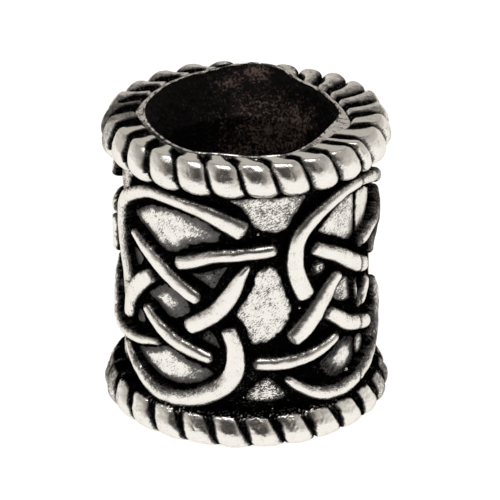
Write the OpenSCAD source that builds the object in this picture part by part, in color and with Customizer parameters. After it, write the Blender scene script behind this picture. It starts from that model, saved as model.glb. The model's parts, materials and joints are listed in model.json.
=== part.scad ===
// A cast silver beard bead: a short tube with a rope rim at each mouth and a raised
// over-and-under interlace of four knots round its panel. It stands on its lower rope.
// Millimetres, +Z up, origin at the middle of the foot. Angles run from the front (-Y) towards +X.

/* [Bead] */
// Height over both rope rims
bead_h = 15; // [14:0.25:17]
// Radius of the panel's ground, between the raised strips
ground_r = 6; // [5.8:0.1:6.4]
// Radius of the round bore that a lock of hair passes through
bore_r = 4.1; // [3.6:0.05:4.2]

/* [Rope rims] */
// Number of strands round each rim
strand_count = 26; // [20:1:30]
// Depth of the grooves between the strands
groove_depth = 0.4; // [0.2:0.05:0.5]
// Drop of the flat collar between the strands and the mouth
collar_drop = 0.12; // [0.05:0.01:0.25]

/* [Interlace] */
// How far the strips stand above the ground
strip_rise = 0.6; // [0.4:0.05:0.7]
// Factor on the width of every strip
strip_width = 1; // [0.8:0.05:1.1]

/* [Mouths] */
// Depth of the worn, uneven upper mouth
mouth_depth = 2; // [1.5:0.1:2.5]
// Radius of the plain lower mouth
foot_mouth_r = 4.75; // [4.4:0.05:5]

/* [Seam] */
// Direction of the joint where the rolled strip of wax was closed
seam_angle = 58; // [50:1:66]
// Width of the joint's line in the ground
seam_width = 0.14; // [0.1:0.01:0.2]

/* [Hidden] */

// Both knots that show were laid by hand and differ a little, so each row holds a place for the
// first knot and one for the second. The pair is repeated on the far side.
// Columns: angle and height on the first knot, angle and height on the second,
// in degrees from the knot's own middle and millimetres above the foot.
upper_loop = [
    [-25.3,  7.90,  -27.5,  7.90],
    [-29.0,  8.60,  -31.5,  8.75],
    [-33.0,  9.80,  -32.5,  9.75],
    [-33.5, 10.85,  -31.0, 10.80],
    [-28.0, 11.70,  -25.0, 11.70],
    [-19.0, 12.30,  -17.0, 12.30],
    [ -8.0, 12.75,   -6.0, 12.75],
    [  6.0, 12.70,    7.0, 12.80],
    [ 18.0, 12.40,   18.0, 12.50],
    [ 27.0, 12.00,   27.0, 12.20],
    [ 36.0, 11.50,   36.0, 11.70],
];
upper_bridge = [
    [  5.0,  9.55,    3.0,  9.55],
    [ 12.0,  9.75,   12.0,  9.75],
    [ 22.0, 10.10,   22.0, 10.00],
    [ 34.0, 10.30,   34.0, 10.15],
    [ 49.5, 10.50,   49.0, 10.50],
];
upper_diagonal = [
    [-21.0, 10.30,  -24.7, 10.35],
    [-14.0,  9.80,  -18.5,  9.95],
    [ -7.0,  9.30,  -10.0,  9.50],
    [  2.5,  8.60,   -1.0,  8.85],
    [ 11.0,  8.00,    7.0,  8.35],
    [ 16.5,  7.70,   10.3,  8.20],
];
left_hook = [
    [ -7.0,  8.40,  -10.0,  8.60],
    [-12.0,  8.05,  -16.5,  7.90],
    [-19.0,  7.35,  -22.0,  7.00],
    [-24.5,  6.50,  -29.0,  6.10],
    [-26.5,  5.55,  -36.0,  5.50],
];
right_diagonal = [
    [ 37.5,  9.75,   32.5,  9.35],
    [ 34.0,  9.15,   28.0,  8.95],
    [ 29.5,  8.15,   21.0,  8.30],
    [ 23.5,  7.20,   13.0,  7.60],
    [ 15.5,  6.50,    8.0,  6.70],
    [ 10.0,  6.10,    4.0,  6.10],
];
lower_diagonal = [
    [-12.5,  6.65,  -17.5,  6.70],
    [ -7.0,  6.05,  -10.0,  6.15],
    [  2.5,  5.35,   -3.0,  5.60],
    [ 12.0,  4.95,    8.0,  5.15],
    [ 22.0,  4.60,   16.0,  4.85],
];
lower_bridge = [
    [ -3.0,  4.85,  -10.0,  5.25],
    [ -8.0,  4.80,  -17.5,  4.85],
    [-19.0,  4.50,  -26.0,  4.55],
    [-35.0,  4.40,  -39.0,  4.40],
    [-52.0,  4.65,  -51.0,  4.50],
];
lower_loop = [
    [ 28.0,  6.40,   28.0,  6.40],
    [ 31.0,  5.40,   31.0,  5.50],
    [ 31.5,  4.30,   31.5,  4.55],
    [ 27.5,  3.35,   27.5,  3.55],
    [ 17.0,  2.55,   18.0,  2.80],
    [  7.0,  2.20,    7.0,  2.40],
    [ -3.0,  2.10,   -6.0,  2.15],
    [-12.0,  2.45,  -18.5,  2.30],
    [-21.0,  3.25,  -30.0,  2.95],
    [-24.3,  3.65,  -37.0,  3.65],
];
// Columns: half-width in millimetres, route
strips = [
    [0.44, upper_loop],
    [0.36, upper_bridge],
    [0.37, upper_diagonal],
    [0.37, left_hook],
    [0.42, right_diagonal],
    [0.33, lower_diagonal],
    [0.31, lower_bridge],
    [0.45, lower_loop],
];
// Middle of each knot, in degrees; even places take the first knot's columns, odd ones the second's.
knot_middles = [-36.5, 53.5, 143.5, 233.5];

// Section of a strip, walls and a rounded back. Columns: share of the half-width, share of the rise
strip_section = [[-1, -0.4], [-0.78, 0.8], [0, 1], [0.78, 0.8], [1, -0.4]];
// Extra sections close to each blunt end. Columns: distance from the end in spans, share of the rise
strip_end = [[0, 0.35], [0.2, 0.92]];
sections_per_span = 1.5;

// Section of a rope rim from its inner edge over the shoulder and under. The strands are ground
// flat at the rim's face, where the drop is below 0. Columns: radius, drop below the rim's face,
// lead of the groove in degrees, share of the groove's depth
rope_section = [
    [4.90,  0.20, -9.5, 0.0],
    [5.30, -0.08, -8.0, 0.5],
    [6.00, -0.20, -4.8, 1.0],
    [6.50, -0.12, -2.7, 1.0],
    [6.82,  0.12, -1.6, 1.0],
    [7.04,  0.48, -0.8, 0.95],
    [7.10,  0.84,  0.0, 0.9],
    [6.97,  1.28,  1.0, 0.9],
    [6.60,  1.60,  2.2, 0.7],
    [5.40,  1.62,  0.0, 0.0],
];
// Middle of the rope's section, which its grooves point to. Columns: radius, drop
rope_core = [6.1, 0.84];
// A strand from one groove to the next. Columns: place across the strand, share of the groove
strand_shape = [[0, 1], [0.18, 0.3], [0.5, 0], [0.82, 0.3]];
// Angle of one groove of each rim at its widest place
upper_phase = -1.5;
lower_phase = 1;

// Outline of the worn upper mouth. Columns: angle, radius
mouth_outline = [
    [-178, 6.35],
    [-168, 5.80],
    [-155, 5.65],
    [-139, 5.40],
    [-102, 5.05],
    [ -75, 4.90],
    [ -55, 4.97],
    [ -40, 5.20],
    [ -27, 5.37],
    [ -15, 5.05],
    [   0, 5.33],
    [  20, 5.43],
    [  32, 5.00],
    [  46, 4.65],
    [  63, 4.35],
    [  90, 4.55],
    [ 116, 4.43],
    [ 140, 4.70],
    [ 156, 5.30],
    [ 165, 6.25],
    [ 175, 6.40],
];
// Size of the worn mouth at its lowest point, as a share of its outline at the rim's face
mouth_taper = 0.68;
// Depth of the plain lower mouth
foot_mouth_depth = 0.5;
// Height of each rope rim, which the seam stops short of
rim_h = 1.65;
seam_depth = 0.12;
overcut = 1;

// Place on the bead's outside from an angle, a radius and a height
function place(angle, radius, height) =
    [radius * sin(angle), -radius * cos(angle), height];

// A point of the smooth curve through p, at u spans from its first point
function curve_at(p, u) =
    let (
        n = len(p) - 1,
        i = min(floor(u), n - 1),
        t = u - i,
        b = p[i],
        c = p[i + 1],
        a = i > 0 ? p[i - 1] : 2 * b - c,
        d = i < n - 1 ? p[i + 2] : 2 * c - b
    )
    (2 * b + (c - a) * t + (2 * a - 5 * b + 4 * c - d) * t * t
        + (3 * b - a - 3 * c + d) * t * t * t) / 2;

// Direction of that curve on the unrolled outside, as a unit vector across and up
function heading_at(p, u) =
    let (
        n = len(p) - 1,
        step = 0.05,
        q = curve_at(p, min(u + step, n)) - curve_at(p, max(u - step, 0)),
        v = [q[0] * PI / 180 * ground_r, q[1]]
    )
    v / norm(v);

// Spans at which a strip's sections stand, with the share of its rise that each has
function stations(n) =
    let (steps = round(n * sections_per_span))
    concat(
        strip_end,
        [for (i = [1 : steps - 1]) [i * n / steps, 1]],
        [[n - strip_end[1][0], strip_end[1][1]], [n, strip_end[0][1]]]
    );

// One strip: its section carried along the route, with a blunt end on each side
module strip(route, half_width) {
    stops = stations(len(route) - 1);
    corners = len(strip_section);
    points = [
        for (stop = stops)
            let (
                middle = curve_at(route, stop[0]),
                h = heading_at(route, stop[0])
            )
            for (s = strip_section)
                let (
                    across = s[0] * half_width * strip_width,
                    rise = s[1] > 0 ? s[1] * stop[1] : s[1],
                    turn = -h[1] * across / ground_r * 180 / PI
                )
                place(middle[0] + turn, ground_r + strip_rise * rise, middle[1] + h[0] * across)
    ];
    last = (len(stops) - 1) * corners;
    sides = [
        for (i = [0 : len(stops) - 2])
            for (k = [0 : corners - 1])
                let (a = i * corners + k, b = i * corners + (k + 1) % corners)
                each [[a, b, a + corners], [b, b + corners, a + corners]]
    ];
    first_end = [for (k = [corners - 1 : -1 : 0]) k];
    last_end = [for (k = [0 : corners - 1]) last + k];
    polyhedron(points, concat(sides, [first_end, last_end]), convexity = 6);
}

// All the strips of one knot; column is 0 for the first knot's places and 2 for the second's
module knot(middle, column) {
    for (s = strips)
        strip([for (row = s[1]) [middle + row[column], row[column + 1]]], s[0]);
}

// A rope rim with its face at height 0 and its strands below it
module rope_rim(phase) {
    shape = len(strand_shape);
    columns = strand_count * shape;
    rows = len(rope_section);
    points = [
        for (i = [0 : columns - 1])
            let (
                strand = floor(i / shape),
                across = strand_shape[i % shape],
                angle = phase + (strand + across[0]) * 360 / strand_count
            )
            for (s = rope_section)
                let (
                    inward = rope_core - [s[0], s[1]],
                    cut = groove_depth * across[1] * s[3] / norm(inward)
                )
                place(angle + s[2], s[0] + inward[0] * cut, -max(0, s[1] + inward[1] * cut))
    ];
    faces = [
        for (i = [0 : columns - 1])
            for (k = [0 : rows - 1])
                let (
                    j = (i + 1) % columns,
                    m = (k + 1) % rows
                )
                each [
                    [i * rows + k, j * rows + k, i * rows + m],
                    [j * rows + k, j * rows + m, i * rows + m]
                ]
    ];
    polyhedron(points, faces, convexity = 8);
}

// The worn upper mouth, which narrows downwards into the bore and opens a gap in the back of the rope
module worn_mouth() {
    outline = [
        for (u = [0 : 0.5 : len(mouth_outline) - 1])
            let (m = curve_at(mouth_outline, u))
            [m[1] * sin(m[0]), -m[1] * cos(m[0])]
    ];
    widest = mouth_taper + (1 - mouth_taper) * (mouth_depth + overcut) / mouth_depth;
    translate([0, 0, bead_h - mouth_depth])
        linear_extrude(mouth_depth + overcut, scale = widest / mouth_taper)
            scale(mouth_taper)
                polygon(outline);
}

// The joint in the panel where the rolled strip was closed
module seam() {
    rotate([0, 0, seam_angle])
        translate([-seam_width / 2, -ground_r - overcut, rim_h])
            cube([seam_width, overcut + seam_depth, bead_h - 2 * rim_h]);
}

// Everything of the casting but its round bore, brought to its finished height
module casting() {
    resize([0, 0, bead_h])
        difference() {
            union() {
                translate([0, 0, collar_drop])
                    cylinder(r = ground_r, h = bead_h - 2 * collar_drop, $fn = 48);
                translate([0, 0, bead_h])
                    rope_rim(upper_phase);
                rotate([180, 0, 0])
                    rope_rim(-lower_phase);
                for (k = [0 : len(knot_middles) - 1])
                    knot(knot_middles[k], 2 * (k % 2));
            }
            worn_mouth();
            seam();
        }
}

// The bead: one casting with a true round bore and a plain round lower mouth
module bead() {
    color("silver")
        difference() {
            casting();
            translate([0, 0, -overcut])
                cylinder(r = bore_r, h = bead_h + 2 * overcut, $fn = 96);
            translate([0, 0, -overcut])
                cylinder(r = foot_mouth_r, h = overcut + foot_mouth_depth, $fn = 96);
        }
}

bead();
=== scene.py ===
"""A cast silver bead for a beard: a short tube, a rope rim at each mouth and a raised interlace.

Lengths are millimetres and angles degrees until a mesh is made. The frame is the CAD model's:
+Z up, the origin in the middle of the foot, angles from the front (-Y) towards +X.
"""

import json

import bpy
import numpy as np
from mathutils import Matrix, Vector


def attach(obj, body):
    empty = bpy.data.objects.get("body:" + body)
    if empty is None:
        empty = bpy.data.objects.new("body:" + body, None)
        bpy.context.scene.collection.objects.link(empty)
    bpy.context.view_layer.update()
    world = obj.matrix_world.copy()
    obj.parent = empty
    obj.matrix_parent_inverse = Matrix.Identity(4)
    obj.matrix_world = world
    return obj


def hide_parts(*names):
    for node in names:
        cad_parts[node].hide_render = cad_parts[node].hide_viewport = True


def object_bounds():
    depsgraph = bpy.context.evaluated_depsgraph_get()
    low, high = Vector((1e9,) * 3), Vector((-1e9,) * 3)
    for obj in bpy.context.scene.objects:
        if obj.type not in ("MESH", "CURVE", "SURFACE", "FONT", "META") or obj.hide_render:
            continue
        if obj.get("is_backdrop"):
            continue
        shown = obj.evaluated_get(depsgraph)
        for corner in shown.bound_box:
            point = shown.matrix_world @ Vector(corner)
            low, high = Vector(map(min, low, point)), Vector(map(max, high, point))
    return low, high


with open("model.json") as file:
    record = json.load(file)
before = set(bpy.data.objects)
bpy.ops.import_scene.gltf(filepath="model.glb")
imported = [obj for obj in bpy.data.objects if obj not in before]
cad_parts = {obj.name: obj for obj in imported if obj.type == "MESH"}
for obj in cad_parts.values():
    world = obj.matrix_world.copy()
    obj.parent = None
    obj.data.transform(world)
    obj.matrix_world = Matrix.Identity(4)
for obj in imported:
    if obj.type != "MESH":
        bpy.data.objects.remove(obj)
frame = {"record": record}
low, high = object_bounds()

MM = 0.001
BODY = "root"
NODE = "bead"

# The bead's own sizes. The seam stands on the near half and again on the far half
BEAD_HEIGHT = (high.z - low.z) / MM
BORE_RADIUS = frame["record"]["mounts"][0]["dims"]["r_mm"]
FLOOR_RADIUS = 5.93
CELL_RADIUS = 6.02
CREST_RADIUS = 6.6
SEAM_ANGLE = 59.8
SEAM_REACH = 0.9
COLLAR_DROP = 0.12
FOOT_MOUTH = 4.75
# How the drawing of the knots and the ground lies on the bead. It is lowered, and pushed round by
# an amount that depends on the angle from the middle of the front or of the back. Columns: angle,
# push
PUSH = [
    (-90, 0), (-78, -0.9), (-65, -1.3), (-37, -1.0), (-18, -0.2), (0, 0.3), (17, 0.6), (36, 1.0),
    (50, 0.6), (60, 0.1), (90, 0),
]
LOWERED = 0.08

# The two knots that show. Columns: angle and height on the first knot, angle and height on the
# second, from the knot's own middle and above the foot.
UPPER_LOOP = [
    (-23.5, 7.25, -26.5, 7.70),
    (-27.5, 8.10, -29.0, 8.25),
    (-31.0, 9.10, -32.0, 9.20),
    (-33.5, 10.10, -32.3, 10.10),
    (-33.0, 11.00, -30.5, 10.95),
    (-28.0, 11.70, -25.0, 11.70),
    (-19.0, 12.30, -17.0, 12.30),
    (-8.0, 12.75, -6.0, 12.75),
    (6.0, 12.70, 7.0, 12.80),
    (18.0, 12.42, 18.0, 12.50),
    (27.0, 11.98, 27.0, 12.20),
    (36.0, 11.45, 36.0, 11.70),
]
UPPER_BRIDGE = [
    (5.0, 9.45, 3.0, 9.55),
    (12.0, 9.66, 12.0, 9.75),
    (22.0, 10.10, 22.0, 10.00),
    (34.0, 10.30, 34.0, 10.15),
    (49.5, 10.50, 49.0, 10.50),
]
UPPER_DIAGONAL = [
    (-21.0, 10.30, -24.7, 10.35),
    (-14.0, 9.80, -18.5, 9.95),
    (-7.0, 9.30, -10.0, 9.50),
    (2.5, 8.60, -1.0, 8.85),
    (11.0, 8.00, 7.0, 8.35),
    (16.5, 7.70, 12.3, 8.12),
]
LEFT_HOOK = [
    (-7.0, 8.40, -9.5, 8.60),
    (-12.0, 8.05, -15.6, 7.93),
    (-19.0, 7.35, -21.0, 7.05),
    (-24.5, 6.50, -27.7, 6.14),
    (-26.3, 5.35, -34.6, 5.50),
]
RIGHT_DIAGONAL = [
    (37.5, 9.75, 11.6, 7.64),
    (34.0, 9.15, 11.2, 7.35),
    (29.5, 8.15, 10.4, 7.00),
    (23.5, 7.20, 8.8, 6.70),
    (15.5, 6.50, 6.6, 6.36),
    (10.0, 6.10, 4.6, 6.08),
]
LOWER_DIAGONAL = [
    (-12.5, 6.65, -17.5, 6.70),
    (-7.0, 6.05, -10.0, 6.15),
    (2.5, 5.35, -3.0, 5.60),
    (12.0, 4.95, 8.0, 5.15),
    (22.0, 4.60, 16.0, 4.85),
]
LOWER_BRIDGE = [
    (-3.0, 4.85, -10.0, 5.25),
    (-8.0, 4.80, -17.5, 4.85),
    (-19.0, 4.50, -26.0, 4.55),
    (-35.0, 4.40, -39.0, 4.40),
    (-52.0, 4.65, -51.0, 4.50),
]
LOWER_LOOP = [
    (28.0, 6.40, 23.0, 6.90),
    (31.0, 5.40, 29.5, 5.70),
    (31.5, 4.30, 31.5, 4.55),
    (27.5, 3.35, 27.5, 3.55),
    (17.0, 2.55, 18.0, 2.80),
    (7.0, 2.20, 7.0, 2.40),
    (-3.0, 2.10, -6.0, 2.15),
    (-12.0, 2.45, -18.5, 2.30),
    (-21.0, 3.15, -30.0, 2.95),
    (-28.5, 4.00, -37.0, 3.65),
]
# Each strip's route, and its half-widths on the first and the second knot, at these shares of the
# length
WIDTH_STATIONS = (0, 0.35, 0.7, 1)
STRIPS = [
    (UPPER_LOOP, (0.46, 0.38, 0.33, 0.54), (0.46, 0.38, 0.30, 0.36)),
    (UPPER_BRIDGE, (0.38, 0.35, 0.34, 0.32), (0.30, 0.33, 0.34, 0.32)),
    (UPPER_DIAGONAL, (0.25, 0.39, 0.41, 0.36), (0.34, 0.40, 0.44, 0.40)),
    (LEFT_HOOK, (0.36, 0.46, 0.46, 0.32), (0.32, 0.46, 0.52, 0.46)),
    (RIGHT_DIAGONAL, (0.15, 0.40, 0.45, 0.42), (0.16, 0.30, 0.30, 0.18)),
    (LOWER_DIAGONAL, (0.25, 0.37, 0.37, 0.30), (0.34, 0.40, 0.40, 0.34)),
    (LOWER_BRIDGE, (0.18, 0.27, 0.30, 0.28), (0.22, 0.34, 0.36, 0.32)),
    (LOWER_LOOP, (0.36, 0.50, 0.42, 0.20), (0.17, 0.46, 0.42, 0.20)),
]
# Short strips of one knot only: angle and height, half-widths, and how clean
SCRAPS = {
    "front_right": [
        (
            [(37.0, 9.95), (31.0, 9.85), (25.0, 9.68), (20.5, 9.38), (17.7, 9.0), (15.9, 8.5)],
            (0.36, 0.30, 0.26, 0.22), 0.55,
        ),
        ([(2.6, 7.80), (2.9, 7.20), (3.7, 6.50)], (0.08, 0.13, 0.13, 0.10), 1.0),
    ],
    "back_left": [
        (
            [(36.7, 9.65), (37.3, 9.0), (35.8, 8.1), (31.0, 7.45)],
            (0.26, 0.34, 0.32, 0.18), 1.1,
        ),
    ],
}
# The first and the second knot take turns
KNOT_MIDDLES = {"front_left": -36.5, "front_right": 53.5, "back_right": 143.5, "back_left": 233.5}

# Cells of ground between the strips of the front pair, which the back pair repeats. Each has its
# middle (angle, height), the share of it that is worn bright, the polish of that place and of the
# rest, its pitting, the direction of the brush marks, and its outline
CELLS = {
    "left_shoulder": dict(
        middle=(-75.0, 12.9), worn=0.8, polish=(0.85, 0.5), pits=0.5, brush=85,
        outline=[
            (-84.0, 12.3), (-84.0, 13.4), (-74.0, 13.5), (-64.0, 13.4), (-57.0, 13.2),
            (-65.0, 12.85), (-72.0, 12.55), (-78.0, 12.3),
        ],
    ),
    "upper_left": dict(
        middle=(-43.0, 11.1), worn=0.68, polish=(1.0, 0.36), pits=0.6, brush=60,
        outline=[
            (-61.5, 10.95), (-55.0, 11.55), (-48.0, 11.95), (-40.0, 12.05), (-30.0, 12.05),
            (-22.0, 11.95), (-15.5, 11.65), (-11.0, 11.25), (-10.5, 10.8), (-16.0, 10.65),
            (-23.0, 10.4), (-29.0, 10.0), (-35.0, 9.7), (-40.0, 9.75), (-46.0, 10.1),
            (-53.0, 10.5),
        ],
    ),
    "small_triangle": dict(
        middle=(-16.0, 8.95), worn=0.3, polish=(0.34, 0.28), pits=0.7, brush=20,
        outline=[
            (-25.5, 8.85), (-19.0, 9.1), (-12.0, 9.4), (-8.5, 9.5), (-11.5, 8.9),
            (-15.0, 8.25), (-20.0, 8.55),
        ],
    ),
    "left_corner": dict(
        middle=(-58.0, 8.75), worn=0.3, polish=(0.5, 0.45), pits=0.5, brush=70,
        outline=[
            (-63.5, 9.0), (-59.0, 9.05), (-54.5, 8.75), (-57.0, 8.3), (-60.0, 8.25),
        ],
    ),
    "left_diamond": dict(
        middle=(-37.5, 7.15), worn=0.38, polish=(1.0, 0.36), pits=0.7, brush=40,
        outline=[
            (-50.5, 7.1), (-45.0, 7.6), (-40.0, 7.95), (-33.5, 7.8), (-28.0, 7.4),
            (-25.0, 6.9), (-29.0, 6.5), (-35.0, 6.2), (-40.0, 6.45), (-45.0, 6.8),
        ],
    ),
    "left_speck": dict(
        middle=(-57.5, 5.6), worn=0.3, polish=(0.45, 0.4), pits=0.3, brush=0,
        outline=[(-60.0, 5.3), (-58.5, 5.9), (-55.0, 5.8), (-53.5, 5.4), (-57.0, 5.2)],
    ),
    "dark_hollow": dict(
        middle=(-17.0, 5.65), worn=0.3, polish=(0.28, 0.22), pits=0.45, brush=0,
        outline=[(-20.5, 5.5), (-18.0, 6.05), (-14.5, 5.8), (-12.0, 5.15), (-15.0, 5.2)],
    ),
    "lower_left": dict(
        middle=(-38.5, 3.7), worn=0.62, polish=(1.0, 0.36), pits=0.6, brush=50,
        outline=[
            (-61.0, 3.75), (-54.0, 4.05), (-47.0, 4.3), (-40.0, 4.65), (-34.0, 4.6),
            (-27.0, 4.3), (-20.0, 4.05), (-14.5, 3.75), (-18.0, 3.25), (-24.0, 2.95),
            (-32.0, 2.75), (-40.0, 2.8), (-48.0, 3.05), (-55.0, 3.35),
        ],
    ),
    "centre_top": dict(
        middle=(11.0, 12.2), worn=0.86, polish=(0.82, 0.40), pits=0.68, brush=25,
        outline=[
            (-8.0, 13.05), (-3.0, 12.6), (0.5, 12.0), (3.0, 11.55), (8.0, 11.3),
            (13.0, 11.2), (18.0, 11.35), (21.5, 11.9), (25.0, 12.45), (27.5, 13.0),
            (20.0, 13.1), (5.0, 13.15),
        ],
    ),
    "centre_diamond": dict(
        middle=(8.0, 7.3), worn=0.9, polish=(0.95, 0.6), pits=0.66, brush=45,
        outline=[
            (-5.0, 7.15), (-0.5, 7.85), (2.5, 8.55), (4.0, 9.25), (8.0, 9.55), (13.0, 9.4),
            (15.5, 8.95), (17.8, 8.1), (20.5, 7.4), (20.5, 6.7), (17.5, 6.1), (13.5, 5.65),
            (9.0, 5.4), (3.0, 5.3), (0.5, 5.7), (-1.0, 6.3), (-4.0, 6.7),
        ],
    ),
    "centre_foot": dict(
        middle=(8.5, 2.8), worn=0.74, polish=(0.74, 0.20), pits=1.35, brush=0,
        outline=[
            (-0.5, 2.35), (1.0, 2.95), (5.0, 3.35), (9.0, 3.6), (13.0, 3.3), (17.0, 2.75),
            (17.0, 2.3), (8.0, 2.2),
        ],
    ),
    "upper_right": dict(
        middle=(49.0, 11.1), worn=0.85, polish=(0.90, 0.5), pits=0.55, brush=30,
        outline=[
            (34.0, 10.9), (38.0, 11.4), (43.0, 11.8), (50.0, 12.15), (57.0, 12.2),
            (59.0, 12.0), (59.0, 10.8), (58.5, 9.95), (55.0, 9.8), (50.0, 9.95),
            (44.0, 10.3), (38.0, 10.6),
        ],
    ),
    "beyond_seam_top": dict(
        middle=(68.0, 10.95), worn=0.9, polish=(0.95, 0.7), pits=0.3, brush=10,
        outline=[
            (60.6, 12.05), (67.0, 12.1), (74.0, 11.85), (79.0, 11.5), (75.0, 10.6),
            (69.0, 10.0), (63.0, 9.7), (60.6, 10.15), (60.4, 11.05),
        ],
    ),
    "right_hollow": dict(
        middle=(34.5, 9.0), worn=0.5, polish=(0.8, 0.08), pits=0.95, brush=0,
        outline=[(30.0, 9.1), (33.0, 9.5), (38.0, 9.2), (39.0, 8.7), (35.0, 8.5), (31.0, 8.7)],
    ),
    "right_diamond": dict(
        middle=(51.0, 7.25), worn=0.8, polish=(0.8, 0.3), pits=0.8, brush=20,
        outline=[
            (42.0, 7.25), (46.5, 7.75), (51.0, 8.0), (56.0, 7.65), (58.5, 7.1), (57.5, 6.6),
            (53.0, 6.6), (47.0, 6.75),
        ],
    ),
    "beyond_seam_middle": dict(
        middle=(62.5, 6.9), worn=0.8, polish=(0.9, 0.5), pits=0.4, brush=80,
        outline=[(60.5, 7.4), (64.0, 7.4), (65.0, 6.8), (64.0, 6.3), (61.5, 6.3)],
    ),
    "lower_right": dict(
        middle=(51.0, 3.75), worn=0.5, polish=(0.95, 0.2), pits=0.45, brush=25,
        outline=[
            (34.0, 3.8), (40.0, 4.15), (46.0, 4.55), (51.0, 4.75), (56.0, 4.6),
            (60.0, 4.3), (60.0, 3.15), (54.0, 2.75), (46.0, 2.65), (39.0, 2.95),
        ],
    ),
    "beyond_seam_foot": dict(
        middle=(65.5, 3.75), worn=0.7, polish=(0.8, 0.35), pits=0.4, brush=60,
        outline=[(61.8, 4.2), (66.5, 4.25), (70.5, 3.85), (70.5, 3.4), (66.0, 3.2), (62.0, 3.4)],
    ),
}
# The cells between two knots, which also stand at the sides, between the near and the far half
BETWEEN_KNOTS = ("centre_top", "centre_diamond", "centre_foot")
# Drops of metal that the mould left. Columns: angle, height, radius
SPECKS = [
    (5.0, 11.17, 0.08),
    (25.0, 7.02, 0.09),
    (54.5, 2.72, 0.15),
    (-1.5, 2.45, 0.06),
    (12.0, 1.75, 0.06),
    (36.0, 8.9, 0.07),
    (33.0, 8.75, 0.05),
]

# Rope rims
STRANDS = 26
PITCH = 360 / STRANDS
UPPER_PHASE = -1.5
LOWER_PHASE = 0.0
# Radius, and drop below the rim's face
ROPE_CORE = (6.1, 0.84)
# The radius at which the ropes' brush marks are unrolled
MARKS_RADIUS = 6.5
# Section of a rim, whose strands are ground flat where the drop is below 0. Columns: radius, drop
# below the face, lead of the groove in degrees, its depth, the half-width that stays black in it,
# and the radius and drop of the lower rim, whose shoulder is squarer
ROPE_SECTION = [
    (4.95, 0.42, -9.8, 0.14, 0.37, 4.95, 0.42),
    (5.02, 0.10, -9.2, 0.30, 0.37, 5.02, 0.10),
    (5.20, -0.03, -8.4, 0.50, 0.37, 5.20, -0.03),
    (5.60, -0.10, -6.6, 0.60, 0.38, 5.60, -0.10),
    (6.05, -0.13, -4.6, 0.58, 0.36, 6.05, -0.13),
    (6.45, -0.08, -2.9, 0.42, 0.19, 6.45, -0.08),
    (6.72, 0.05, -2.0, 0.40, 0.035, 6.74, 0.05),
    (6.92, 0.25, -1.2, 0.47, 0.06, 6.93, 0.22),
    (7.05, 0.52, -0.6, 0.54, 0.10, 7.06, 0.46),
    (7.10, 0.84, 0.0, 0.54, 0.11, 7.09, 0.74),
    (7.06, 1.12, 0.6, 0.50, 0.11, 7.04, 0.97),
    (6.93, 1.36, 1.2, 0.45, 0.11, 6.93, 1.21),
    (6.72, 1.54, 1.9, 0.39, 0.11, 6.80, 1.45),
    (6.45, 1.64, 2.6, 0.30, 0.12, 6.62, 1.62),
    (6.05, 1.66, 3.2, 0.15, 0.12, 6.25, 1.69),
    (5.70, 1.62, 3.2, 0.0, 0.12, 5.70, 1.66),
]

# Outline of the worn upper mouth. Columns: angle, radius of the lip, radius where the strands
# begin, polish of the collar between them
LIP, STRANDS_BEGIN, COLLAR_POLISH = 1, 2, 3
MOUTH = [
    (-180, 6.35, 6.48, 0.25),
    (-172, 6.15, 6.30, 0.31),
    (-165, 5.70, 5.86, 0.75),
    (-154, 5.65, 5.80, 1.00),
    (-140, 5.40, 5.55, 1.06),
    (-125, 5.20, 5.35, 1.10),
    (-112, 5.08, 5.22, 1.10),
    (-100, 5.02, 5.28, 1.00),
    (-90, 4.95, 5.42, 0.88),
    (-80, 4.90, 5.10, 0.85),
    (-68, 4.90, 5.08, 0.50),
    (-56, 4.97, 5.20, 0.34),
    (-44, 5.14, 5.40, 0.28),
    (-35, 5.29, 5.58, 0.32),
    (-27, 5.37, 5.66, 0.30),
    (-17, 5.10, 5.44, 0.30),
    (-7, 5.12, 5.42, 0.30),
    (2, 5.33, 5.56, 0.32),
    (13, 5.30, 5.48, 0.36),
    (22, 5.43, 5.55, 0.44),
    (32, 5.03, 5.20, 0.56),
    (45, 4.68, 4.88, 0.81),
    (56, 4.45, 4.80, 0.98),
    (66, 4.35, 5.05, 1.00),
    (78, 4.43, 5.15, 0.98),
    (90, 4.56, 4.80, 1.00),
    (103, 4.48, 4.63, 1.00),
    (117, 4.42, 4.58, 1.00),
    (131, 4.65, 4.80, 1.00),
    (144, 4.72, 4.88, 1.02),
    (154, 5.15, 5.30, 1.00),
    (161, 5.80, 5.95, 0.75),
    (168, 6.30, 6.42, 0.38),
]
# How far the upper strands wander from an even spacing. Columns: angle, shift
WANDER = [
    (-180, -6.5), (-160, -7.0), (-147, -5.2), (-134, -4.5), (-119, -1.8), (-90, -1.8), (-70, 0),
    (54, 0), (68, -7.5), (82, -3.5), (97, -1.5), (113, -2.2), (126, -4.4), (152, -4.7),
    (163, -6.5), (180, -6.5),
]
# Where the crust inside the mouth is thin. Columns: angle, height, reach in angle, reach in
# height, how thin
THIN_CRUST = [
    (-170.0, 14.25, 7.0, 0.35, 0.72),
    (176.0, 14.60, 6.5, 0.36, 0.90),
    (163.0, 12.10, 34.0, 1.70, 0.82),
    (-168.0, 10.70, 20.0, 0.70, 0.55),
    (140.0, 13.30, 15.0, 0.80, 0.40),
]
# Where the seeds of the knots start, how far apart they are, and where those of the cells start
KNOT_SEED, KNOT_SEEDS_APART, GROUND_SEED, SIDE_SEED = 100, 20, 200, 240

# Colours, as sRGB
BLACK_PATINA = "#060505"
GREY_TARNISH = "#63615f"
PALE_TARNISH = "#a8a49e"
BARE_SILVER = "#efebe4"
DARK_CRUST = "#040303"
BROWN_CRUST = "#2b201d"
THIN_CRUST_BROWN = "#66564e"

# The photo's view: degrees down, and millimetres away
CAMERA_TILT = 25.0
CAMERA_DISTANCE = 198.0


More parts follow.
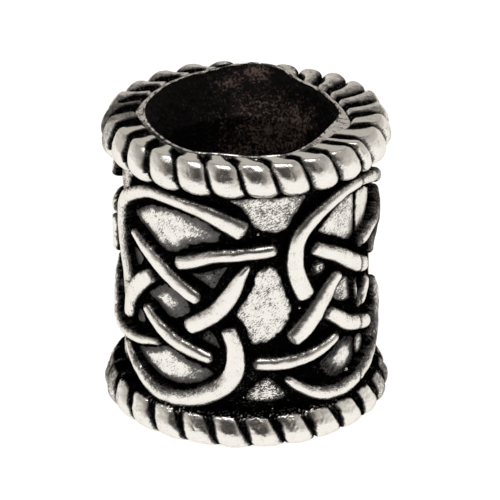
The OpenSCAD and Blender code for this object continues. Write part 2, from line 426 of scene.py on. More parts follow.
def colour(text):
    """Linear colour from an sRGB hex value, by the sRGB curve."""
    parts = np.array([int(text[i : i + 2], 16) for i in (1, 3, 5)]) / 255
    linear = np.where(parts <= 0.04045, parts / 12.92, ((parts + 0.055) / 1.055) ** 2.4)
    return (*linear.tolist(), 1.0)


def place(angle, radius, height):
    """Points in metres: x is the radius times the angle's sine, y is minus the radius times its
    cosine, and z is the height."""
    turn = np.radians(angle)
    across, back, up = np.broadcast_arrays(radius * np.sin(turn), -radius * np.cos(turn), height)
    return np.stack([across, back, up], -1) * MM


def wrapped(angle):
    """The same angle, between -180 and 180."""
    return (angle + 180) % 360 - 180


def ease(start, stop, value):
    """0 below start, 1 above stop, and 3t^2 - 2t^3 between them."""
    t = np.clip((value - start) / (stop - start), 0, 1)
    return t * t * (3 - 2 * t)


def smooth(table, at, loop=False):
    """The Catmull-Rom curve through the rows of a table, at fractional row numbers."""
    rows = np.asarray(table, float)
    count = len(rows)
    step = np.floor(at).astype(int)
    if loop:
        a, b, c, d = (rows[(step + k) % count] for k in (-1, 0, 1, 2))
    else:
        rows = np.vstack([2 * rows[0] - rows[1], rows, 2 * rows[-1] - rows[-2]])
        step = np.clip(step, 0, count - 2)
        a, b, c, d = (rows[step + k] for k in range(4))
    t = (at - step)[:, None]
    bend = (2 * a - 5 * b + 4 * c - d) * t**2 + (3 * b - a - 3 * c + d) * t**3
    return (2 * b + (c - a) * t + bend) / 2


def ripple(points, size, seed):
    """A smooth random field with crests about size apart, from about -1 to 1: the sum of sine
    waves of about that length that run in random directions."""
    waves, crest = 28, 1.6
    draw = np.random.default_rng(seed)
    ways = draw.normal(size=(waves, 3))
    ways /= np.linalg.norm(ways, axis=1)[:, None]
    ways *= 2 * np.pi / (size * MM * draw.uniform(0.7, 1.4, (waves, 1)))
    phases = draw.uniform(0, 2 * np.pi, waves)
    return np.sin(points @ ways.T + phases).sum(-1) / np.sqrt(waves / 2) / crest


def laid(angle, height):
    """Where a place of the drawing lies: pushed round by straight lines between the rows of the
    push's table, which repeats on the far half, and lowered."""
    near = (angle + 90) % 180 - 90
    return angle + np.interp(near, *np.array(PUSH, float).T), height - LOWERED


def grid(rows, columns, loop_rows=False, loop_columns=False):
    """Quads between rows of points, which may close on themselves either way."""
    r, c = np.meshgrid(
        np.arange(rows if loop_rows else rows - 1),
        np.arange(columns if loop_columns else columns - 1),
        indexing="ij",
    )
    up, on = (r + 1) % rows, (c + 1) % columns
    corners = [r * columns + c, r * columns + on, up * columns + on, up * columns + c]
    return np.stack(corners, -1).reshape(-1, 4)


def unrolled(angle, height):
    """Places on the unrolled outside in millimetres, for the UV map."""
    return np.stack(np.broadcast_arrays(np.radians(angle) * FLOOR_RADIUS, height), -1)


def finish_piece(name, parts, *materials):
    """One mesh from parts of (points, faces, marks). The marks are the polish and pitting of each
    point, its place on the surface in millimetres, which becomes the UV map, and the number of
    each face's material where the piece has two."""
    points, faces, marks, numbers, base = [], [], {}, [], 0
    for part_points, part_faces, part_marks in parts:
        points.append(part_points)
        faces += [[base + i for i in f] for f in part_faces]
        numbers.append(part_marks.pop("material", np.zeros(len(part_faces), np.int32)))
        for key, values in part_marks.items():
            marks.setdefault(key, []).append(values)
        base += len(part_points)
    mesh = bpy.data.meshes.new(name)
    mesh.from_pydata(np.vstack(points), [], faces)
    mesh.polygons.foreach_set("use_smooth", np.ones(len(mesh.polygons), bool))
    for key in ("polish", "pits"):
        values = np.concatenate(marks[key]).astype(np.float32)
        mesh.attributes.new(key, "FLOAT", "POINT").data.foreach_set("value", values)
    corner = np.zeros(len(mesh.loops), np.int32)
    mesh.loops.foreach_get("vertex_index", corner)
    spread = np.vstack(marks["spread"]).astype(np.float32)
    mesh.uv_layers.new(name="surface").data.foreach_set("uv", spread[corner].ravel())
    for material in materials:
        mesh.materials.append(material)
    mesh.polygons.foreach_set("material_index", np.concatenate(numbers).astype(np.int32))
    mesh.update()
    piece = bpy.data.objects.new(name, mesh)
    bpy.context.scene.collection.objects.link(piece)
    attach(piece, BODY)
    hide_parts(NODE)


def strip(route, widths, middle, column, seed, clean=1.0):
    """A half-round bar on upright walls, carried along a route on the unrolled outside. Its back
    rises with the cosine across it, and its width shrinks as a circle's does at each blunt end. It
    is lower where it is narrow, by the square root of its width."""
    blunt_end, stop_apart, look_ahead, full_height_from, seam_depth = 0.22, 0.09, 0.12, 0.25, 0.14
    table = [(middle + row[column], row[column + 1]) for row in route]
    dense = smooth(table, np.linspace(0, len(table) - 1, 24 * len(table)))
    dense = np.stack(laid(*dense.T), -1)
    flat = dense * (np.pi / 180 * FLOOR_RADIUS, 1)
    run = np.concatenate([[0], np.cumsum(np.linalg.norm(np.diff(flat, axis=0), axis=1))])
    length = run[-1]

    # Stops along the route, closer together at its ends, and the way it goes at each
    ends = blunt_end * (1 - np.cos(np.linspace(0.1, 1, 10) * np.pi / 2))
    count = max(12, int(length / stop_apart))
    body = np.linspace(blunt_end, length - blunt_end, count)
    stops = np.concatenate([ends[:-1], body, length - ends[:-1][::-1]])
    at, ahead, behind = (
        np.stack([np.interp(stops + reach, run, flat[:, k]) for k in (0, 1)], -1)
        for reach in (0, look_ahead, -look_ahead)
    )
    way = ahead - behind
    way /= np.linalg.norm(way, axis=1)[:, None]
    away = np.minimum(np.minimum(stops, length - stops) / blunt_end, 1)
    narrow = np.sqrt(1 - (1 - away) ** 2)[:, None]
    station = np.interp(stops / length, WIDTH_STATIONS, range(len(WIDTH_STATIONS)))
    half_width = smooth([[w] for w in widths], station)

    # The section, from one wall over the back to the other wall
    across_turn = np.radians(np.linspace(-90, 90, 17))
    share = np.concatenate([[-0.92, -1.0], np.sin(across_turn), [1.0, 0.92]])
    rise = np.concatenate([[-0.5, 0.2], 0.56 + 0.44 * np.cos(across_turn), [0.2, -0.5]])
    offset = half_width * share * narrow
    across = at[:, 0, None] - way[:, 1, None] * offset
    height = at[:, 1, None] + way[:, 0, None] * offset
    level = rise * (0.7 + 0.3 * narrow) * np.sqrt(np.minimum(half_width / full_height_from, 1))
    radius = FLOOR_RADIUS + (CREST_RADIUS - FLOOR_RADIUS) * level
    angle = np.degrees(across / FLOOR_RADIUS)
    uneven = ripple(place(angle, radius, height), 0.7, seed) * 0.012
    uneven += ripple(place(angle, radius, height), 0.22, seed + 1) * 0.005
    radius += uneven * (level > 0)
    rows, columns = len(stops), len(share)
    faces = grid(rows, columns, loop_columns=True).tolist()
    faces += [list(range(columns))[::-1], [(rows - 1) * columns + k for k in range(columns)]]

    # The brush left dirt on the side that looks up and, away from the middle of the front, on the
    # side that looks forward, and a painted shade darkens the same sides. There is more of it on
    # the lowest strips, and less near the last end
    outer = np.sign(np.sin(np.radians(angle))) * ease(35, 60, np.abs(wrapped(angle)))
    looks_up = np.clip(share * way[:, 0, None], 0, 1)
    looks_forward = np.clip(0.6 * outer * share * way[:, 1, None], 0, 1)
    dirt_and_shade = np.clip(looks_up + looks_forward, 0, 1) ** (1.0 + 0.8 * ease(3.0, 4.2, height))
    dirt_and_shade = dirt_and_shade * (0.5 + 0.5 * ease(0.3, 1.6, length - stops))[:, None]
    flecks = ripple(place(angle, radius, height), 0.3, seed + 500)
    # The dirt and the painted shade lower the polish
    polish = 1.02 * clean * ease(0.50, 0.84, level) * (1 - 0.56 * dirt_and_shade)
    end = np.minimum(stops, length - stops)[:, None] + 0.05 * flecks
    polish = polish * (0.45 + 0.55 * ease(0.02, 0.28, end))
    # The seam cuts a groove into the back, with dirt in it
    seam = np.exp(-(((angle % 180 - SEAM_ANGLE + 0.25 * flecks) / SEAM_REACH) ** 2))
    radius = radius - seam_depth * seam * (level > 0.3)
    points = place(angle, radius, height).reshape(-1, 3)
    # At the right end of the near half the backs are dimmer, and the walls carry a painted grey
    # sheen
    right_end_sheen = ease(70, 78, angle) * (1 - ease(98, 108, angle))
    polish = polish * (1 - 0.6 * seam) * (1 - 0.25 * right_end_sheen)
    polish = np.maximum(polish, (0.32 + 0.14 * flecks) * right_end_sheen * ease(0.15, 0.4, level))
    pits = 0.3 + 0.25 * dirt_and_shade + 0.2 * (1 - ease(0.6, 0.95, level))
    marks = dict(
        polish=polish.ravel(),
        pits=pits.ravel(),
        # The seed gives each strip its own part of the brush marks
        spread=np.stack([stops[:, None] + 0 * offset + seed, offset], -1).reshape(-1, 2),
    )
    return points, faces, marks


def cell(shape, turn, seed):
    """A pillow over an outline: rings from the middle to the edge, a crown that falls with the
    fourth power of the ring's share, a wall down to the floor, and a closed underside."""
    columns, crown_height, fade = 96, 0.07, 0.24
    corners = shape["outline"]
    outline = smooth(corners, np.linspace(0, len(corners), columns + 1)[:-1], loop=True)
    middle = np.array(shape["middle"])
    crown = np.linspace(0, 0.9, 20)
    share = np.concatenate([crown, [0.94, 0.97, 0.99, 1.0, 1.005, 0.9, 0.0]])
    lift = np.concatenate([crown_height * (1 - crown**4), [0.02, 0.0, -0.02, -0.05]])
    radius = np.concatenate([CELL_RADIUS + lift, [FLOOR_RADIUS - 0.1] * 3])[:, None]
    spot = middle + (outline[None] - middle) * share[:, None, None]
    angle, height = laid(spot[..., 0] + turn, spot[..., 1])
    ragged = ripple(place(angle, 6.0, height), 0.32, seed)
    top = (share < 1)[:, None]
    radius = radius + 0.012 * top * ripple(place(angle, 6.0, height), 0.8, seed + 1)
    points = place(angle, radius, height).reshape(-1, 3)
    faces = grid(len(share), columns, loop_columns=True)

    # Bright where it is worn, dull round that, and black at the edge, on the wall and underneath
    limit = shape["worn"]
    worn = 1 - ease(limit - fade, limit + fade, share[:, None] + 0.05 * ragged)
    bright, dull = shape["polish"]
    edge = 1 - ease(0.88, 1.0, share[:, None] + 0.04 * ragged)
    polish = (dull + (bright - dull) * worn) * edge
    polish[-4:] = 0
    brush = np.radians(shape["brush"])
    flat = spot.reshape(-1, 2) * (np.pi / 180 * CELL_RADIUS, 1)
    along = flat @ np.array([np.cos(brush), np.sin(brush)])
    aside = flat @ np.array([-np.sin(brush), np.cos(brush)])
    marks = dict(
        polish=polish.ravel(),
        pits=(shape["pits"] * (0.45 + 0.55 * worn)).ravel(),
        spread=np.stack([along, aside], -1),
    )
    return points, faces[:, ::-1].tolist(), marks


def around(angle, column):
    """A column of the mouth's table at any angle: straight lines between its rows, and then the
    mean of five places two degrees apart, which rounds the corners."""
    table = np.array(MOUTH, float)
    closed = np.vstack([table, table[:1] + (360, 0, 0, 0)])
    near = [
        np.interp(wrapped(wrapped(angle) + aside), closed[:, 0], closed[:, column])
        for aside in (-4, -2, 0, 2, 4)
    ]
    return np.mean(near, axis=0)


def rope(phase, top):
    """A rim of leaning strands: a section, carried round, whose points are turned by the groove's
    lead. They sink towards the rope's core by its depth times 1 minus the root of 1 minus a power
    of the distance from the middle of the strand. The rim's face cuts off what stands above it."""
    per_strand, section_rows, roughness = 30, 88, 0.012
    columns = STRANDS * per_strand
    strand = np.arange(columns) // per_strand
    across = (np.arange(columns) % per_strand) / per_strand
    # Columns are closer together near the grooves
    across = across - 0.055 * np.sin(4 * np.pi * across)
    angle = (strand + across) * PITCH + phase
    table = smooth(ROPE_SECTION, np.linspace(0, len(ROPE_SECTION) - 1, section_rows))
    radius, drop, lead, depth, black, low_radius, low_drop = (table[:, k, None] for k in range(7))
    if top:
        drop = drop + 0.14 * ease(-0.1, 0.3, drop)
        shift = np.interp(wrapped(angle), *np.array(WANDER, float).T)
        power = 2.15
    else:
        # The lower strands lean more and are squarer
        radius, drop, lead = low_radius, low_drop, 1.25 * lead
        shift = 0 * angle
        power = 2.6
    aside = np.abs(2 * across - 1)[None, :]
    wide = np.radians(PITCH) * radius
    fall = 1 - np.sqrt(np.clip(1 - (0.98 * aside) ** power, 0, 1))
    draw = np.random.default_rng(11 if top else 12)
    plump = draw.uniform(-0.03, 0.03, STRANDS)[strand]
    side = wrapped(angle + shift)[None, :]
    if top:
        # The flats on the left of the front point straight inwards
        straight = ease(-85, -70, side) * (1 - ease(-24, 8, side))
        lead = lead - 0.75 * straight * np.minimum(lead + 2.9, 0)
    spin = (angle + shift)[None, :] + (lead if top else -lead)
    facing = np.abs(wrapped(spin))
    # Only the front of the upper rope was ground flat. Its other strands are rounder between
    # deeper grooves, which are a little less deep at the back on the right
    worn_flat = 1 - ease(78, 104, facing) if top else 1 + 0 * facing
    back_right = ease(92, 104, side) * (1 - ease(168, 178, side))
    depth = depth * (1.45 - 0.45 * worn_flat - 0.2 * back_right * top)
    if not top:
        depth = depth * (0.62 + 0.38 * ease(0.1, 0.8, drop))
    sink = depth * fall - plump * (1 - aside**2) * np.minimum(depth / 0.4, 1)
    inward = np.stack(np.broadcast_arrays(ROPE_CORE[0] - radius, ROPE_CORE[1] - drop), -1)
    inward = inward / np.linalg.norm(inward, axis=-1, keepdims=True)
    out = radius + inward[..., 0] * sink
    down = np.maximum(drop, 0) + np.minimum(drop, 0) * worn_flat + inward[..., 1] * sink
    uneven = ripple(place(spin, out, down), 0.6, 21 if top else 22)
    uneven += 0.5 * ripple(place(spin, out, down), 0.2, 23 if top else 24)
    out = out - roughness * inward[..., 0] * uneven
    down = down - roughness * inward[..., 1] * uneven
    notch = np.zeros_like(out)
    if top:
        # The strands begin where the mouth's outline says, and stop short of the gap at the back
        first, fixed = ROPE_SECTION[0][0], 6.3
        begin = np.minimum(around(spin, STRANDS_BEGIN), 6.2)
        share = np.clip((out - first) / (fixed - first), 0, 1)
        out = np.where(out < fixed, begin + (fixed - begin) * share, out)
        notch = ease(6.0, 6.3, around(spin, LIP))
        out = np.maximum(out, around(spin, LIP) + 0.10)
    down = np.maximum(0.004 * ripple(place(spin, out, 0 * out), 0.5, 25), down)
    down = np.clip(down + 0.12 * notch * (out < 6.9), 0, None)
    if top:
        # The rim sags beside the gap
        down = down + 0.15 * ease(138, 152, side) * (1 - ease(166, 176, side))
    # Grains of metal that the mould left on the shelf above the lower strands
    crumbs = ease(0.55, 0.8, ripple(place(spin, out, down), 0.16, 28)) * (drop > 1.5) * (not top)
    down = down + 0.05 * crumbs
    height = BEAD_HEIGHT - down if top else down
    points = place(spin, out, height).reshape(-1, 3)
    rows = len(table)
    faces = grid(rows, columns, loop_rows=True, loop_columns=True)
    if top:
        faces = faces[:, ::-1]

    # Dirt lies in the grooves, a painted shade fades out over the left side of a strand, and the
    # right side is clean to its edge. On the flanks and at the back of the upper rope a painted
    # shade covers the side that looks forward
    spotty = 0.02 * ripple(points.reshape(*out.shape, 3), 0.45, 26)
    from_left = wide * (across if top else 1 - across)[None, :] + spotty
    from_right = wide - from_left + 2 * spotty
    if top:
        # On the left flank a painted shade widens the black on the right of each strand, and
        # between the flats the dirt widens inwards
        left_flank_shade = ease(24, 40, -side) * (1 - ease(85, 100, -side)) * (drop < 1.2)
        black_right = black * (1.4 - 0.4 * worn_flat) + 0.17 * left_flank_shade
        black_right = black_right * (1 - 0.75 * back_right)
        widened = 0.4 * (1 - ease(6.0, 6.5, radius)) * worn_flat
        black_left = black * (1 + widened) + 0.08 * back_right
    else:
        black_right = black_left = black + 0.09 + 0.14 * ease(0.5, 1.3, drop)
    polish = 0.97 * ease(0.6 * black_right, 1.1 * black_right + 0.04, from_right)
    # A painted shade darkens the left side of each strand towards its groove
    polish = polish * (0.4 + 0.6 * ease(0.03, 0.30, from_left))
    polish = polish * ease(0.4 * black_left, 0.9 * black_left, from_left)
    if top:
        # On strands that were not ground flat a painted shade darkens the side that looks forward
        forward = np.where(side < 0, from_right, from_left)
        dirt_and_shade = ease(0.0, 0.9, forward) + 0.2 * ripple(points.reshape(*out.shape, 3), 0.4, 27)
        polish = polish * (worn_flat + (1 - worn_flat) * (0.62 + 0.38 * np.clip(dirt_and_shade, 0, 1)))
        far_left = ease(70, 84, -side) * (1 - ease(92, 104, -side))
        polish = polish * (1 - 0.32 * far_left)
    else:
        at_sides = ease(55, 85, facing) * (1 - ease(95, 125, facing))
        polish = polish * (1 - 0.3 * at_sides)
    # The first rows, against the collar or the bore, are dirty
    polish = polish * ease(-0.02, 0.08, np.arange(rows)[:, None] / rows)
    pits = 0.2 + 0.4 * (1 - ease(0.05, 0.30, np.minimum(from_left, from_right)))
    pits = pits + 0.1 * ease(55, 90, facing)
    # The shelf against the panel stays black, but for its grains, and so does the gap
    hidden = (1 - ease(6.58, 6.72, out + spotty)) * (drop > 1.2)
    polish = polish * (1 - hidden) * (1 - 0.9 * notch * (down < 0.4))
    polish = np.maximum(polish, 0.95 * crumbs * (1 - ease(30, 60, facing)))
    spread = np.broadcast_arrays(np.radians(spin) * MARKS_RADIUS, down + out)
    marks = dict(
        polish=polish.ravel(),
        pits=pits.ravel(),
        spread=np.stack(spread, -1).reshape(-1, 2),
    )
    return points, faces.tolist(), marks


def tube():
    """The wall between the ropes: a closed section of points (radius, height), carried round,
    whose upper mouth follows the worn outline. Inside it is rough from the mould."""
    columns = 480
    angle = np.arange(columns) / columns * 360 - 180
    mouth = around(angle, LIP)
    begin = around(angle, STRANDS_BEGIN)
    face = BEAD_HEIGHT - COLLAR_DROP

    # Up the outside, over the collar and the lip, and down the inside to the foot
    wall = [(FLOOR_RADIUS, z) for z in np.linspace(1.0, 13.9, 70)]
    rim = [(FLOOR_RADIUS, face - 0.75), (begin + 0.22, face - 0.6), (begin + 0.10, face - 0.2)]
    under_strands = len(rim)
    rim += [
        (mouth + 0.1 + (begin - mouth - 0.06) * t, face - 0.09 * (begin - mouth) * t)
        for t in np.linspace(1, 0, 8)
    ]
    lip = [(mouth + 0.08, face), (mouth + 0.06, face + 0.03), (mouth + 0.04, face + 0.05)]
    lip += [(mouth + 0.01, face + 0.05), (mouth - 0.01, face + 0.03), (mouth - 0.02, face)]
    funnel = [
        (mouth - 0.02 + (BORE_RADIUS - mouth + 0.02) * t, face - 0.06 - 1.9 * t)
        for t in np.linspace(0, 1, 32)
    ]
    bore = [(BORE_RADIUS, z) for z in np.linspace(12.8, 0.6, 70)]
    foot = [(4.3, 0.52), (4.6, 0.48), (FOOT_MOUTH, 0.4), (FOOT_MOUTH, 0.2)]
    foot += [(4.8, COLLAR_DROP), (5.4, COLLAR_DROP), (FLOOR_RADIUS, COLLAR_DROP)]
    rows = wall + rim + lip + funnel + bore + foot
    radius = np.stack([r + 0 * mouth for r, z in rows])
    height = np.stack([z + 0 * mouth for r, z in rows])
    index = np.arange(len(rows))
    outer, inner = len(wall + rim), len(wall + rim + lip)
    inside = (index >= inner) & (index < inner + len(funnel + bore))

    points = place(angle[None, :], radius, height)
    rough = 0.030 * ripple(points, 0.8, 3) + 0.022 * ripple(points, 0.35, 4)
    rough += 0.012 * ripple(points, 0.16, 5)
    radius = radius + inside[:, None] * np.minimum(rough, 0.05)
    ground = 0.012 * ripple(points, 0.5, 6) + 0.008 * ripple(points, 0.2, 7)
    radius = radius + (index < len(wall))[:, None] * (ground - 0.012)
    points = place(angle[None, :], radius, height).reshape(-1, 3)
    faces = grid(len(rows), columns, loop_rows=True, loop_columns=True)

    # The lip was scraped, and the foot's mouth and the ring round it were polished
    polish = np.zeros_like(radius)
    collar = (index >= len(wall)) & (index < outer)
    polish[collar] = around(angle, COLLAR_POLISH)
    polish[len(wall) : len(wall) + under_strands] = 0
    scraped = ripple(points.reshape(*radius.shape, 3), 0.5, 8)
    polish[outer:inner] = (0.80 + 0.30 * scraped)[outer:inner]
    polish[-5:] = 0.8
    # Inside, the same attribute says how thin the crust is, by bells that fall as exp(-r^2)
    thin = np.zeros_like(radius)
    for at_angle, at_height, wide, tall, amount in THIN_CRUST:
        aside = wrapped(angle - at_angle)[None, :] / wide
        away = aside**2 + ((height - at_height) / tall) ** 2
        thin += amount * np.exp(-away)
    polish = np.where(inside[:, None], thin, polish)
    marks = dict(
        polish=polish.ravel(),
        pits=np.repeat(0.35 + 0.35 * collar, columns),
        spread=unrolled(angle[None, :], height).reshape(-1, 2),
        material=np.repeat(inside, columns).astype(np.int32),
    )
    return points, faces.tolist(), marks


def speck(angle, height, size):
    """A drop of metal left by the mould: a low dome of rings that shrink by the cosine."""
    rings, columns, sunk, tall = 7, 14, 0.03, 1.3
    tilt = np.linspace(0, np.pi / 2, rings)
    turn = np.arange(columns) / columns * 2 * np.pi
    away = size * np.cos(tilt)[:, None]
    across = angle + np.degrees(away * np.cos(turn) / FLOOR_RADIUS)
    up = height + away * np.sin(turn)
    out = FLOOR_RADIUS - sunk + tall * size * np.sin(tilt)[:, None] + 0 * away
    points = place(across, out, up).reshape(-1, 3)
    faces = grid(rings, columns, loop_columns=True).tolist() + [list(range(columns))[::-1]]
    marks = dict(
        polish=np.ones(len(points)),
        pits=np.zeros(len(points)),
        spread=unrolled(across, up).reshape(-1, 2),
    )
    return points, faces, marks


def add(tree, kind, inputs=(), **settings):
    """Adds a node with its settings; an input is a value, or a socket to link it to."""
    node = tree.nodes.new(kind)
    for key, value in settings.items():
        setattr(node, key, value)
    for key, value in dict(inputs).items():
        if isinstance(value, bpy.types.NodeSocket):
            tree.links.new(value, node.inputs[key])
        else:
            node.inputs[key].default_value = value
    return node


def set_stops(ramp, stops):
    """Gives a colour ramp its stops, as pairs of place and colour."""
    elements = ramp.color_ramp.elements
    while len(elements) > 1:
        elements.remove(elements[-1])
    for i, (where, value) in enumerate(stops):
        element = elements[0] if i == 0 else elements.new(where)
        element.position = where
        element.color = value


def grey(value):
    """A grey for a ramp that drives a number."""
    return (value, value, value, 1)


def new_material(name, metallic):
    """A material with only its output and a Principled shader."""
    material = bpy.data.materials.new(name)
    material.use_nodes = True
    tree = material.node_tree
    tree.nodes.clear()
    shader = add(tree, "ShaderNodeBsdfPrincipled", {"Metallic": metallic})
    add(tree, "ShaderNodeOutputMaterial", {"Surface": shader.outputs[0]})
    return material, tree, shader


def darkened_silver():
    """Sterling silver, blackened all over with sulphide and then rubbed bright on its high
    places: black in the hollows, grey where the brush only brushed, and bare where it wore through.
    """
    material, tree, shader = new_material("darkened_silver", 1.0)
    # The polish also carries the painted shade and painted sheen that the pieces set, shown by the
    # same tones
    polish = add(tree, "ShaderNodeAttribute", attribute_name="polish")
    pits = add(tree, "ShaderNodeAttribute", attribute_name="pits")
    where = add(tree, "ShaderNodeTexCoord")
    # Cast grain, blotches of dirt, and brush marks about 0.2 mm long and 0.07 mm wide
    grain_size, blotch_size, strokes_per_mm = 0.06 * MM, 0.6 * MM, (5.0, 15.0, 1.0)
    grain = add(
        tree, "ShaderNodeTexNoise",
        {"Vector": where.outputs["Object"], "Scale": 1 / grain_size, "Detail": 2.0},
    )
    blotch = add(
        tree, "ShaderNodeTexNoise",
        {"Vector": where.outputs["Object"], "Scale": 1 / blotch_size, "Detail": 2.0},
    )
    drawn = add(
        tree, "ShaderNodeMapping", {"Vector": where.outputs["UV"], "Scale": strokes_per_mm},
    )
    strokes = add(
        tree, "ShaderNodeTexNoise",
        {"Vector": drawn.outputs[0], "Scale": 1.0, "Detail": 2.0},
    )
    # The three are added by weight, and half the weights is taken off, which is their mean. The
    # pitting says how much of this change is added to the polish
    drift = add(tree, "ShaderNodeMath", {0: grain.outputs[0], 1: 2.1}, operation="MULTIPLY")
    first = add(
        tree, "ShaderNodeMath",
        {0: strokes.outputs[0], 1: 1.9, 2: drift.outputs[0]}, operation="MULTIPLY_ADD",
    )
    second = add(
        tree, "ShaderNodeMath",
        {0: blotch.outputs[0], 1: 1.4, 2: first.outputs[0]}, operation="MULTIPLY_ADD",
    )
    centred = add(tree, "ShaderNodeMath", {0: second.outputs[0], 1: 2.7}, operation="SUBTRACT")
    worn = add(
        tree, "ShaderNodeMath",
        {0: centred.outputs[0], 1: pits.outputs["Fac"], 2: polish.outputs["Fac"]},
        operation="MULTIPLY_ADD",
    )
    tone = add(tree, "ShaderNodeValToRGB", {"Fac": worn.outputs[0]})
    set_stops(tone, [
        (0.12, colour(BLACK_PATINA)),
        (0.38, colour(GREY_TARNISH)),
        (0.55, colour(GREY_TARNISH)),
        (0.74, colour(PALE_TARNISH)),
        (0.92, colour(BARE_SILVER)),
    ])
    gloss = add(tree, "ShaderNodeValToRGB", {"Fac": worn.outputs[0]})
    set_stops(gloss, [
        (0.10, grey(0.6)),
        (0.55, grey(0.48)),
        (0.90, grey(0.27)),
    ])
    bump = add(
        tree, "ShaderNodeBump",
        {"Height": grain.outputs[0], "Strength": 0.3, "Distance": 0.012 * MM},
    )
    tree.links.new(tone.outputs[0], shader.inputs["Base Color"])
    tree.links.new(tone.outputs[0], shader.inputs["Specular Tint"])
    tree.links.new(gloss.outputs[0], shader.inputs["Roughness"])
    tree.links.new(bump.outputs[0], shader.inputs["Normal"])
    return material


def burnt_lining():
    """The unpolished inside of the casting: a matt brown-black crust of sulphide and polishing
    dirt over the mould's grain, paler in blotches where it is thin."""
    material, tree, shader = new_material("burnt_lining", 0.0)
    shader.inputs["Roughness"].default_value = 0.62
    shader.inputs["Specular IOR Level"].default_value = 0.08
    where = add(tree, "ShaderNodeTexCoord")
    thin = add(tree, "ShaderNodeAttribute", attribute_name="polish")
    grain_size, blotch_size = 0.13 * MM, 0.7 * MM
    blotch = add(
        tree, "ShaderNodeTexNoise",
        {"Vector": where.outputs["Object"], "Scale": 1 / blotch_size, "Detail": 6.0,
         "Roughness": 0.72},
    )
    grain = add(
        tree, "ShaderNodeTexNoise",
        {"Vector": where.outputs["Object"], "Scale": 1 / grain_size, "Detail": 2.0},
    )
    lit = add(
        tree, "ShaderNodeMath",
        {0: blotch.outputs[0], 1: 1.5, 2: thin.outputs["Fac"]}, operation="MULTIPLY_ADD",
    )
    mixed = add(
        tree, "ShaderNodeMath",
        {0: grain.outputs[0], 1: 2.6, 2: lit.outputs[0]}, operation="MULTIPLY_ADD",
    )
    shown = add(tree, "ShaderNodeMath", {0: mixed.outputs[0], 1: 2.2}, operation="SUBTRACT")
    crust = add(tree, "ShaderNodeValToRGB", {"Fac": shown.outputs[0]})
    set_stops(crust, [
        (0.10, colour(DARK_CRUST)),
        (0.45, colour(BROWN_CRUST)),
        (0.85, colour(THIN_CRUST_BROWN)),
    ])
    bump = add(
        tree, "ShaderNodeBump",
        {"Height": blotch.outputs[0], "Strength": 0.5, "Distance": 0.05 * MM},
    )
    tree.links.new(crust.outputs[0], shader.inputs["Base Color"])
    tree.links.new(bump.outputs[0], shader.inputs["Normal"])
    return material


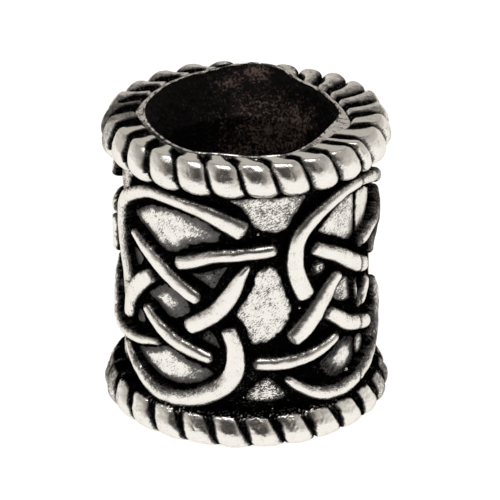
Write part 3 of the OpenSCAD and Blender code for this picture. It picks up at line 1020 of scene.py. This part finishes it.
def white_floor():
    """A pale matt floor that glows a little, so that it stays white round the bead."""
    material, _, shader = new_material("white_floor", 0.0)
    shader.inputs["Base Color"].default_value = grey(0.2)
    shader.inputs["Roughness"].default_value = 0.9
    shader.inputs["Specular IOR Level"].default_value = 0.0
    shader.inputs["Emission Color"].default_value = (1, 1, 1, 1)
    shader.inputs["Emission Strength"].default_value = 0.95
    mesh = bpy.data.meshes.new("floor")
    reach = 3000 * MM
    corners = [(-reach, -reach, 0), (reach, -reach, 0), (reach, reach, 0), (-reach, reach, 0)]
    mesh.from_pydata(corners, [], [(0, 1, 2, 3)])
    mesh.materials.append(material)
    floor = bpy.data.objects.new("floor", mesh)
    bpy.context.scene.collection.objects.link(floor)
    floor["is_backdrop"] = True


def studio():
    """A pale room, dark behind the viewer and dimmer towards its top, which the camera sees as
    plain white, and a wide soft light overhead."""
    world = bpy.data.worlds.new("studio")
    bpy.context.scene.world = world
    world.use_nodes = True
    tree = world.node_tree
    tree.nodes.clear()
    way = add(tree, "ShaderNodeTexCoord")
    tilt = np.radians(CAMERA_TILT)
    viewer = Vector((0, -np.cos(tilt), np.sin(tilt)))
    facing = add(
        tree, "ShaderNodeVectorMath", {0: way.outputs["Generated"], 1: viewer},
        operation="DOT_PRODUCT",
    )
    shade = add(tree, "ShaderNodeValToRGB", {"Fac": facing.outputs["Value"]})
    set_stops(shade, [
        (0.45, (1.0, 0.97, 0.94, 1)),
        (0.70, (0.72, 0.66, 0.62, 1)),
        (0.83, (0.26, 0.22, 0.20, 1)),
        (0.93, (0.04, 0.03, 0.027, 1)),
    ])
    # The room is palest just above the floor
    split = add(tree, "ShaderNodeSeparateXYZ", {0: way.outputs["Generated"]})
    haze = add(tree, "ShaderNodeValToRGB", {"Fac": split.outputs["Z"]})
    set_stops(haze, [(0.0, grey(0.95)), (0.15, grey(0.70)), (0.42, grey(0.56)), (0.8, grey(0.30))])
    room = add(
        tree, "ShaderNodeVectorMath", {0: shade.outputs[0], 1: haze.outputs[0]},
        operation="MULTIPLY",
    )
    straight = add(tree, "ShaderNodeBackground", {"Color": room.outputs[0], "Strength": 1.0})
    plain = add(tree, "ShaderNodeBackground", {"Color": (1, 1, 1, 1), "Strength": 1.1})
    ray = add(tree, "ShaderNodeLightPath")
    both = add(
        tree, "ShaderNodeMixShader",
        {0: ray.outputs["Is Camera Ray"], 1: straight.outputs[0], 2: plain.outputs[0]},
    )
    add(tree, "ShaderNodeOutputWorld", {"Surface": both.outputs[0]})
    # Metres and watts
    lamp = bpy.data.lights.new("overhead", "AREA")
    lamp.shape = "RECTANGLE"
    lamp.size, lamp.size_y = 0.42, 0.14
    lamp.energy = 0.66
    holder = bpy.data.objects.new("overhead", lamp)
    holder.location = (0, -0.12, 0.4)
    aim = Vector((0, 0, BEAD_HEIGHT * MM / 2)) - holder.location
    holder.rotation_mode = "QUATERNION"
    holder.rotation_quaternion = aim.to_track_quat("-Z", "Y")
    bpy.context.scene.collection.objects.link(holder)


def camera():
    """The photo's view: from above the front of the bead, through a long lens."""
    data = bpy.data.cameras.new("camera")
    data.sensor_width = 36
    data.lens = 288
    # The bead stands a little off the middle of the photo
    data.shift_x, data.shift_y = 0.0074, 0.001
    data.clip_start, data.clip_end = 0.01, 20
    holder = bpy.data.objects.new("camera", data)
    tilt = np.radians(CAMERA_TILT)
    middle = Vector((0, 0, BEAD_HEIGHT * MM / 2))
    back = Vector((0, -np.cos(tilt), np.sin(tilt)))
    holder.location = middle + back * CAMERA_DISTANCE * MM
    holder.rotation_mode = "QUATERNION"
    holder.rotation_quaternion = (-back).to_track_quat("-Z", "Y")
    bpy.context.scene.collection.objects.link(holder)
    bpy.context.scene.camera = holder


silver = darkened_silver()
finish_piece("tube", [tube()], silver, burnt_lining())
finish_piece("upper_rope", [rope(UPPER_PHASE, True)], silver)
finish_piece("lower_rope", [rope(LOWER_PHASE, False)], silver)
for number, (knot_name, middle) in enumerate(KNOT_MIDDLES.items()):
    second, seed = number % 2, KNOT_SEED + KNOT_SEEDS_APART * number
    strips = [
        strip(route, widths[second], middle, 2 * second, seed + 2 * n)
        for n, (route, *widths) in enumerate(STRIPS)
    ]
    for route, widths, clean in SCRAPS.get(knot_name, ()):
        strips.append(strip(route, widths, middle, 0, seed, clean))
    finish_piece("knot_" + knot_name, strips, silver)
for side, turn in (("front", 0), ("back", 180)):
    ground = [cell(shape, turn, GROUND_SEED + 2 * n) for n, shape in enumerate(CELLS.values())]
    ground += [speck(*laid(angle + turn, height), size) for angle, height, size in SPECKS]
    finish_piece("ground_" + side, ground, silver)
for side, turn in (("right", 90), ("left", 270)):
    shapes = [CELLS[cell_name] for cell_name in BETWEEN_KNOTS]
    ground = [cell(shape, turn, SIDE_SEED + 2 * n) for n, shape in enumerate(shapes)]
    finish_piece("ground_" + side, ground, silver)

camera()
studio()
white_floor()
bpy.context.scene.view_settings.view_transform = "Standard"

low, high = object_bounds()
